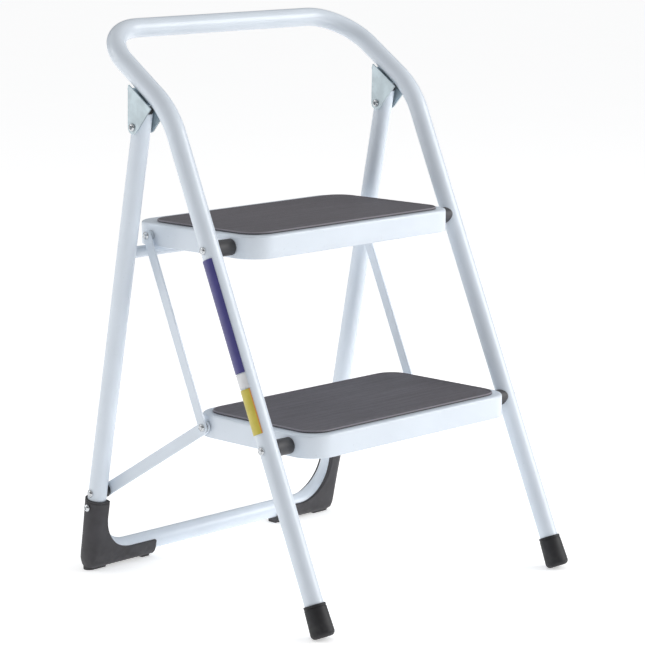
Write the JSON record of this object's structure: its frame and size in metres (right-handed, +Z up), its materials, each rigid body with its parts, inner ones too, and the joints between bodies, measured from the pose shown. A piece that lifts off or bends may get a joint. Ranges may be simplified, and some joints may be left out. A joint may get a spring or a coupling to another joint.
{
  "type": "folding step stool",
  "caption": "Folding step stool with treads on a bent tube frame with a hand loop, a hinged rear frame, fold links, rubber mats and feet.",
  "frame": {"origin": "on the floor, under the middle of the open stool's bounding box", "axes": "+X across the stool to the right of a person facing it, +Y from the front feet to the rear feet, +Z up"},
  "size_m": [0.4714, 0.469, 0.7264],
  "materials": {
    "paint": "pale blue-white powder coat, satin",
    "zinc": "zinc plated pressed steel",
    "bright_steel": "polished rivets",
    "tip_rubber": "black rubber",
    "mat_rubber": "ribbed dark grey rubber",
    "boot_plastic": "dark grey moulded plastic",
    "black_plastic": "black moulded plastic",
    "blue_film": "plain blue label film",
    "white_film": "plain white label film",
    "yellow_film": "plain yellow label film"
  },
  "bodies": {
    "front_frame": {"front_frame_tube": "paint", "front_foot_tip_left": "tip_rubber", "front_foot_tip_right": "tip_rubber", "hinge_bracket_left": "zinc", "hinge_bracket_right": "zinc", "bracket_rivet_left": "bright_steel", "bracket_rivet_right": "bright_steel", "hinge_rivet_left": "bright_steel", "hinge_rivet_right": "bright_steel", "lower_pivot_rivet_left": "bright_steel", "lower_pivot_rivet_right": "bright_steel", "lower_pivot_washer_left": "bright_steel", "lower_pivot_washer_right": "bright_steel", "lower_pivot_spacer_left": "boot_plastic", "lower_pivot_spacer_right": "boot_plastic", "upper_pivot_rivet_left": "bright_steel", "upper_pivot_rivet_right": "bright_steel", "upper_pivot_washer_left": "bright_steel", "upper_pivot_washer_right": "bright_steel", "upper_pivot_spacer_left": "boot_plastic", "upper_pivot_spacer_right": "boot_plastic", "blue_label": "blue_film", "white_label": "white_film", "yellow_label": "yellow_film"},
    "rear_frame": {"rear_frame_tube": "paint", "rear_cross_bar": "paint", "rear_corner_boot_left": "boot_plastic", "rear_corner_boot_right": "boot_plastic", "boot_screw_left": "bright_steel", "boot_screw_right": "bright_steel", "rear_leg_plug_left": "black_plastic", "rear_leg_plug_right": "black_plastic", "leg_link_spacer_left": "black_plastic", "leg_link_spacer_right": "black_plastic", "leg_link_rivet_left": "bright_steel", "leg_link_rivet_right": "bright_steel"},
    "lower_tread": {"lower_tread_pan": "paint", "lower_tread_mat": "mat_rubber", "lower_link_rivet_left": "bright_steel", "lower_link_rivet_right": "bright_steel", "inner_link_washer_left": "bright_steel", "inner_link_washer_right": "bright_steel", "outer_link_washer_left": "bright_steel", "outer_link_washer_right": "bright_steel"},
    "upper_tread": {"upper_tread_pan": "paint", "upper_tread_mat": "mat_rubber", "upper_link_rivet_left": "bright_steel", "upper_link_rivet_right": "bright_steel", "upper_link_sleeve_left": "bright_steel", "upper_link_sleeve_right": "bright_steel"},
    "upper_link_left": {"upper_link_left": "paint"},
    "upper_link_right": {"upper_link_right": "paint"},
    "lower_link_left": {"lower_link_left": "paint", "link_end_rivet_left": "bright_steel"},
    "lower_link_right": {"lower_link_right": "paint", "link_end_rivet_right": "bright_steel"}
  },
  "joints": [
    {"name": "rear_frame_fold", "type": "hinge", "parent": "front_frame", "child": "rear_frame", "pos_m": [0, 0.0958, 0.59796], "axis": [-1, 0, 0], "range_deg": [0, 35.1]},
    {"name": "lower_tread_pivot", "type": "hinge", "parent": "front_frame", "child": "lower_tread", "pos_m": [0, -0.13001, 0.22], "axis": [1, 0, 0], "range_deg": [0, 53.88]},
    {"name": "upper_tread_pivot", "type": "hinge", "parent": "front_frame", "child": "upper_tread", "pos_m": [0, -0.02928, 0.455], "axis": [1, 0, 0], "range_deg": [0, 53.88]},
    {"name": "upper_link_left_pivot", "type": "hinge", "parent": "lower_tread", "child": "upper_link_left", "pos_m": [0, 0.01999, 0.22], "axis": [-1, 0, 0], "range_deg": [0, 53.88]},
    {"name": "lower_link_left_pivot", "type": "hinge", "parent": "lower_tread", "child": "lower_link_left", "pos_m": [0, 0.01999, 0.22], "axis": [-1, 0, 0], "range_deg": [0, 128.44]},
    {"name": "upper_link_right_pivot", "type": "hinge", "parent": "lower_tread", "child": "upper_link_right", "pos_m": [0, 0.01999, 0.22], "axis": [-1, 0, 0], "range_deg": [0, 53.88]},
    {"name": "lower_link_right_pivot", "type": "hinge", "parent": "lower_tread", "child": "lower_link_right", "pos_m": [0, 0.01999, 0.22], "axis": [-1, 0, 0], "range_deg": [0, 128.44]}
  ],
  "couplings": [
    {"joint": "lower_tread_pivot", "follows": "rear_frame_fold", "ratio": 1.5349},
    {"joint": "upper_tread_pivot", "follows": "rear_frame_fold", "ratio": 1.5349},
    {"joint": "upper_link_left_pivot", "follows": "rear_frame_fold", "ratio": 1.5349},
    {"joint": "lower_link_left_pivot", "follows": "rear_frame_fold", "ratio": 3.659},
    {"joint": "upper_link_right_pivot", "follows": "rear_frame_fold", "ratio": 1.5349},
    {"joint": "lower_link_right_pivot", "follows": "rear_frame_fold", "ratio": 3.659}
  ]
}
